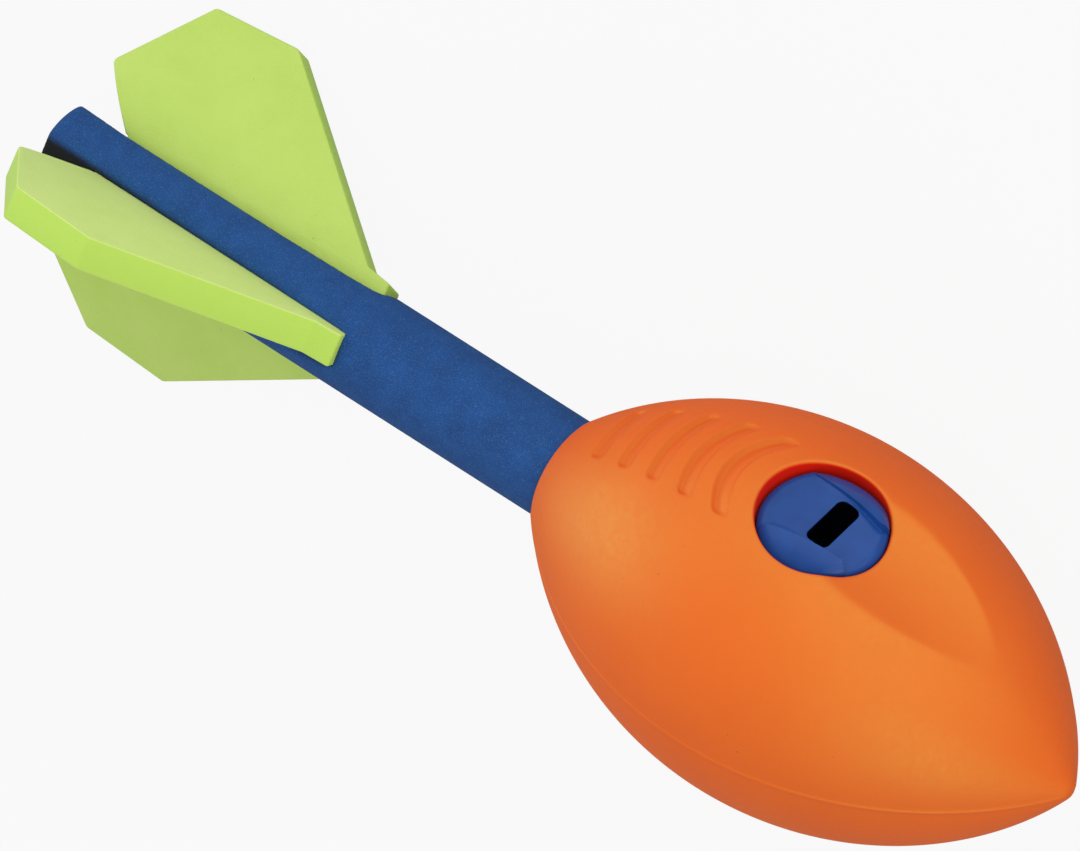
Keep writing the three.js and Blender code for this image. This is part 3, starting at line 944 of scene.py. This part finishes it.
def makeCap(name, angle):
    shell = newShell()
    put = lambda points: turned(shifted(points), angle, whistle["at"])
    a, edge, ease, wide, beside = capStations()
    across = np.linspace(-1, 1, cap["across"] + 1)
    t = (edge + cap["foot"][0][0] * ease * wide)[:, None] * across[None, :]
    channel = stacked(a[:, None], t, channelAt(a)[:, None])
    mouth = cap["mouth"]
    half = mouth["half"][0] + mouth["margin"]
    i0, i1 = [int(np.argmin(np.abs(a - (mouth["at"] + off)))) for off in (-half, half)]
    addGrid(shell, put(channel[:i0 + 1]))
    addGrid(shell, put(channel[i1:]))
    rings = mouthRings(channel[i0:i1 + 1], across)
    addGrid(shell, put(rings), closed=True)
    lobe = lobeGrid(a[beside], edge[beside], ease[beside], wide[beside])
    addGrid(shell, put(lobe))
    addGrid(shell, put(lobe * [1, -1, 1]))
    skirt = capSkirt(channel, lobe, beside)
    addGrid(shell, put(skirt), closed=True)

    # the flat bottom, between the hollow and the side
    innerRing = rings[-1].copy()
    innerRing[:, 2] = capBottom
    bottom = newShell()
    addZip(bottom, innerRing, skirt[-1])
    start = addPoints(shell, put(np.vstack(bottom["points"])))
    shell["faces"] += [[start + corner for corner in face] for face in bottom["faces"]]
    mesh = meshFromShell(name, shell)
    piece = linkPiece(name, mesh, whistleMaterial, cap["sharpOver"])
    markShadeInside(mesh, angle)
    return piece


for side, angle in whistle["angles"].items():
    standFor(makeCap(side + "WhistleCap", angle), side + "_whistle_cap")
    # the cup, the same blue plastic, gets the near black painted shade of the inside
    frame["nodes"][side + "_whistle_cup"].material_slots[0].material = insideMaterial

# The fins' places: degrees round the axis from Y to Z. Each is set as in the photograph: degrees
# round the axis, millimetres forward, share of the height, slant along the toy.
fins = {
    "finTop": {"node": "fin_top", "foam": "paintedLightSheetFoam", "angle": 90,
               "turn": -1.0, "forward": 0.3, "height": 0.93, "slant": 0.6},
    "finRight": {"node": "fin_right", "foam": "greenSheetFoam", "angle": 210,
                 "turn": 0.2, "forward": -1.2, "height": 0.99, "slant": 0.1},
    "finLeft": {"node": "fin_left", "foam": "greenSheetFoam", "angle": 330,
                "turn": 1.2, "forward": -1.5, "height": 0.986, "slant": 0.7},
}

# The tail tube
tubeFront = headRear + head["socketDepth"]
tube = {
    "radius": 13.5,
    "bore": 6.6,
    "columnTurn": 1.25,
    "rows": [(1.2, 92.1, 66), (92.7, 98.8, 12), (101, tubeFront, 36)],  # from, to, how many
    # how far round from a fin's plane its flat reaches, on either side, at places along the tube
    "flatAt": [0, 6, 14, 30, 45, 65, 85, 93, 96, 98.5],
    "flatAfter": [33.5, 35.5, 38.2, 38.6, 38.6, 38.6, 36.1, 33, 28, 4],
    "flatBefore": [31.5, 31.5, 31.2, 29.5, 28, 26.4, 24, 22, 19, 4],
    "flatSoft": 0.45,
    "flatEnd": (98.5, 94),  # where its soft edge starts and is full
    "flatTurn": 65,  # degrees round it where it is looked for
    "slotRear": 15.0,
    "slotFront": 97,
    "slotWidth": 9.6,
    "slotOut": 20,
    "endRound": [(0, 0.7), (0.05, 0.42), (0.2, 0.18), (0.45, 0.04)],  # along, and under the skin
    "waves": [(7.3, 0.9), (4.1, -1.7), (11.9, 2.3)],  # on the flats, per millimetre and per degree
    "waveHeight": 0.1,
    "waveFrom": (0.3, 1.0),  # depths under the skin
    "cutMark": (0.12, 1.15),  # depths under the skin where the black inside starts and is full
    "endMark": (0.35, 0.05),  # the same from the tail end
    "sharpOver": 40,
}


# The outside of the tube, sunk to a flat under each fin
def tubeRadius(x, turns):
    x = np.asarray(x, float)
    radius = np.full(np.broadcast(x, turns).shape, float(tube["radius"]))
    after = np.interp(x, tube["flatAt"], tube["flatAfter"])
    before = np.interp(x, tube["flatAt"], tube["flatBefore"])
    out = tube["radius"] * np.cos(np.radians((after + before) / 2))
    soft = tube["flatSoft"] * smoothStep(*tube["flatEnd"], x)
    for place in fins.values():
        off = (turns - place["angle"] - (after - before) / 2 + 180) % 360 - 180
        flat = out / np.maximum(np.cos(np.radians(off)), sliver)
        radius = np.where(np.abs(off) < tube["flatTurn"], softMin(radius, flat, soft), radius)
    sunk = smoothStep(*tube["waveFrom"], tube["radius"] - radius)
    waves = sum(np.sin(x * along + turns * around) for along, around in tube["waves"])
    return radius + sunk * waves * tube["waveHeight"] / 3


def slotBlock(angle):
    shell = newShell()
    half = tube["slotWidth"] / 2
    ends = (tube["slotRear"], tube["slotFront"])
    corners = [(x, t, h) for x in ends for t in (-half, half) for h in (0, tube["slotOut"])]
    addPoints(shell, turned(corners, angle))
    shell["faces"] = [[0, 1, 3, 2], [4, 6, 7, 5], [0, 4, 5, 1], [2, 3, 7, 6], [0, 2, 6, 4],
                      [1, 5, 7, 3]]
    return linkObject("slotBlock", meshFromShell("slotBlock", shell))


def cutSlot(body, angle):
    block = slotBlock(angle)
    modifier = body.modifiers.new("slot", "BOOLEAN")
    modifier.operation = "DIFFERENCE"
    modifier.solver = "EXACT"
    modifier.object = block
    bpy.context.view_layer.update()
    evaluated = body.evaluated_get(bpy.context.evaluated_depsgraph_get())
    carved = bpy.data.meshes.new_from_object(evaluated)
    body.modifiers.clear()
    body.data = carved
    bpy.data.objects.remove(block)


# Marks where the black inside of the foam shows: in the flats, the slots, the bore and at the end
def markCutFoam(mesh):
    own = ownPlaces(mesh)
    depth = tube["radius"] - np.hypot(own[:, 1], own[:, 2])
    atEnd = smoothStep(*tube["endMark"], own[:, 0])
    mark(mesh, "cutFoam", np.maximum(smoothStep(*tube["cutMark"], depth), atEnd))


def makeTube():
    shell = newShell()
    turns = np.arange(0, 360, tube["columnTurn"])
    rows = [(x, tubeRadius(x, turns) - inset) for x, inset in tube["endRound"]]
    for rear, front, count in tube["rows"]:
        rows += [(x, tubeRadius(x, turns)) for x in np.linspace(rear, front, count)]
    rows += [(x, np.full(len(turns), tube["bore"])) for x in (tubeFront, 0)]
    rows.append(rows[0])
    cos, sin = np.cos(np.radians(turns)), np.sin(np.radians(turns))
    grid = [np.column_stack([np.full(len(turns), x), r * cos, r * sin]) for x, r in rows]
    addGrid(shell, grid, closed=True)
    body = linkObject("tubeBody", meshFromShell("tubeBody", shell))
    for place in fins.values():
        cutSlot(body, place["angle"])
    mesh = body.data
    bpy.data.objects.remove(body)
    mesh.name = "tailTube"
    markCutFoam(mesh)
    return linkPiece("tailTube", mesh, tubeMaterial, tube["sharpOver"])


standFor(makeTube(), "tail_tube")
frame["nodes"]["tail_core"].material_slots[0].material = coreMaterial

# The fins' shape, cut from sheet
fin = {
    "thickness": 9,
    "edgeRound": 0.5,
    # corners: from the tail end, from the axis, and how round
    "corners": [(15.3, 6.6, 0), (96.7, 6.6, 0), (96.7, 15.2, 0.9), (89.1, 16.1, 1.4),
                (39.9, 52.9, 1.8), (15.2, 50.7, 1.8), (0, 25.8, 1.8)],
    "heelBend": (5.1, 19.65),
    "heelEnd": (14.4, 11.8),
    "heelDrop": 0.3,  # from the heel's end to the root's rear edge
    "cornerMost": 0.4,  # share of the side before it that a round corner can take
    "cornerSteps": 7,
    "heelSteps": 11,
    "forwardFrom": (8, 11.7),  # from the axis: where a fin's move forward starts and is full
    "slantFrom": (10, 25),
    "slantMiddle": 50,  # along the toy
    "sharpOver": 30,
}


def finOutline():
    corners = [np.array(corner[:2], float) for corner in fin["corners"]]
    bendAt, end = np.array(fin["heelBend"]), np.array(fin["heelEnd"])
    neighbours = corners + [bendAt]
    points = []
    for index, corner in enumerate(corners):
        cornerRound = fin["corners"][index][2]
        if cornerRound == 0:
            points.append(corner)
            continue
        before, after = neighbours[index - 1] - corner, neighbours[index + 1] - corner
        reach = np.linalg.norm(before)
        back, on = before / reach, after / np.linalg.norm(after)
        bend = math.acos(float(np.clip(-back @ on, -1, 1)))
        run = min(cornerRound * math.tan(bend / 2), reach * fin["cornerMost"])
        for share in np.linspace(0, 1, fin["cornerSteps"] + 1):
            points.append(onBend(corner + back * run, corner, corner + on * run, share))
    start = points[-1]
    for share in np.linspace(0, 1, fin["heelSteps"] + 1)[1:]:
        points.append(onBend(start, bendAt, end, share))
    points.append(np.array([fin["corners"][0][0], end[1] - fin["heelDrop"]]))
    return np.array(points)


def makeFin(name, place):
    x, r = finOutline().T
    skin = tube["radius"]
    r = np.where(r > skin, skin + (r - skin) * place["height"], r)
    x = x + place["forward"] * smoothStep(*fin["forwardFrom"], r)
    lean = place["slant"] * (x - fin["slantMiddle"]) / fin["slantMiddle"]
    lean = lean * smoothStep(*fin["slantFrom"], r)
    half, n, angle = fin["thickness"] / 2, len(x), place["angle"] + place["turn"]
    flat = [turned(np.column_stack([x, side + lean, r]), angle) for side in (-half, half)]
    faces = [list(range(n)), list(range(2 * n - 1, n - 1, -1))]
    faces += [[i, (i + 1) % n, n + (i + 1) % n, n + i] for i in range(n)]
    mesh = bpy.data.meshes.new(name)
    mesh.from_pydata(placed(np.vstack(flat)).tolist(), [], faces)
    bm = bmesh.new()
    bm.from_mesh(mesh)
    bmesh.ops.recalc_face_normals(bm, faces=bm.faces)
    # the edges of the two sides, which are the only faces with more than four corners
    rims = [edge for edge in bm.edges if any(len(face.verts) > 4 for face in edge.link_faces)]
    bmesh.ops.bevel(bm, geom=rims, offset=fin["edgeRound"] * mm, segments=3, profile=0.5,
                    affect="EDGES", clamp_overlap=True)
    bm.to_mesh(mesh)
    bm.free()
    across = roomWay(turned([0, 1, 0], angle))
    mark(mesh, "cutEdge", [abs(face.normal.dot(across)) < 0.5 for face in mesh.polygons], "FACE")
    return linkPiece(name, mesh, sheetMaterials[place["foam"]], fin["sharpOver"])


for name, place in fins.items():
    standFor(makeFin(name, place), place["node"])

# The floor, lamps and background
stage = {
    "floorHalf": 15,
    "floorColour": 0.4,
    "floorSeen": 0.92,  # share of plain white that the camera sees in the floor, over its shadows
    "worldLevel": 0.5,
    "backSeen": 0.95,  # the backdrop beyond the floor, as pale as the floor looks
    "aimAt": (200, 0, 0),  # of the lamps, in the toy's own axes
}
lamps = {
    # towards: right, up and out of the picture
    "keyBox": {"towards": (0.04, 0.335, 0.94), "away": 1.6, "size": 1.1, "level": 0.84},
    "frontBox": {"towards": (0, -0.25, 0.97), "away": 1.6, "size": 1.1, "level": 0.9},
    "rightBox": {"towards": (0.6, 0.3, 0.74), "away": 1.6, "size": 1.1, "level": 0.78},
    "leftBox": {"towards": (-0.92, 0.37, -0.14), "away": 1.6, "size": 1.1, "level": 2.5},
    "topBox": {"towards": (-0.05, 0.82, 0.57), "away": 1.6, "size": 1.8, "level": 0.84},
    "lowBox": {"towards": (0.1, -0.78, 0.62), "away": 1.6, "size": 1.1, "level": 1.6},
}


def addFloor():
    half = stage["floorHalf"]
    mesh = bpy.data.meshes.new("floor")
    corners = [(-half, -half, 0), (half, -half, 0), (half, half, 0), (-half, half, 0)]
    mesh.from_pydata(corners, [], [(0, 1, 2, 3)])
    floor = linkObject("floor", mesh)
    material = bpy.data.materials.new("paleFloor")
    material.use_nodes = True
    tree = material.node_tree
    tree.nodes.clear()
    level = stage["floorColour"]
    diffuse = addNode(tree, "ShaderNodeBsdfDiffuse", Color=(level, level, level, 1))
    white = addNode(tree, "ShaderNodeEmission", Color=(1, 1, 1, 1), Strength=1)
    path = addNode(tree, "ShaderNodeLightPath")
    seen = addNode(tree, "ShaderNodeMath", {"operation": "MULTIPLY"})
    seen.inputs[1].default_value = stage["floorSeen"]
    feed(tree, seen, {0: path.outputs["Is Camera Ray"]})
    mix = addNode(tree, "ShaderNodeMixShader")
    feed(tree, mix, {0: seen.outputs[0], 1: diffuse.outputs[0], 2: white.outputs[0]})
    feed(tree, addNode(tree, "ShaderNodeOutputMaterial"), {"Surface": mix.outputs[0]})
    mesh.materials.append(material)


def addLamps():
    for name, lamp in lamps.items():
        light = bpy.data.lights.new(name, "AREA")
        light.shape = "SQUARE"
        light.size = lamp["size"]
        light.energy = lamp["level"] * math.pi * lamp["size"] ** 2
        box = linkObject(name, light)
        right, up, towards = lamp["towards"]
        way = picRight * right + picUp * up + picTowards * towards
        box.location = roomPoint(stage["aimAt"]) + way.normalized() * lamp["away"]
        box.rotation_mode = "QUATERNION"
        box.rotation_quaternion = way.to_track_quat("Z", "Y")
        box.visible_camera = False


def setWorld():
    world = bpy.data.worlds.new("studio")
    bpy.context.scene.world = world
    world.use_nodes = True
    tree = world.node_tree
    tree.nodes.clear()
    cameraRay = addNode(tree, "ShaderNodeLightPath").outputs["Is Camera Ray"]
    level = spanned(tree, cameraRay, 0, 1, stage["worldLevel"], stage["backSeen"])
    background = addNode(tree, "ShaderNodeBackground", Color=(1, 1, 1, 1))
    feed(tree, background, {"Strength": level})
    feed(tree, addNode(tree, "ShaderNodeOutputWorld"), {"Surface": background.outputs[0]})


addFloor()
addLamps()
setWorld()
bpy.context.scene.view_settings.view_transform = "Standard"
print("stage is set")
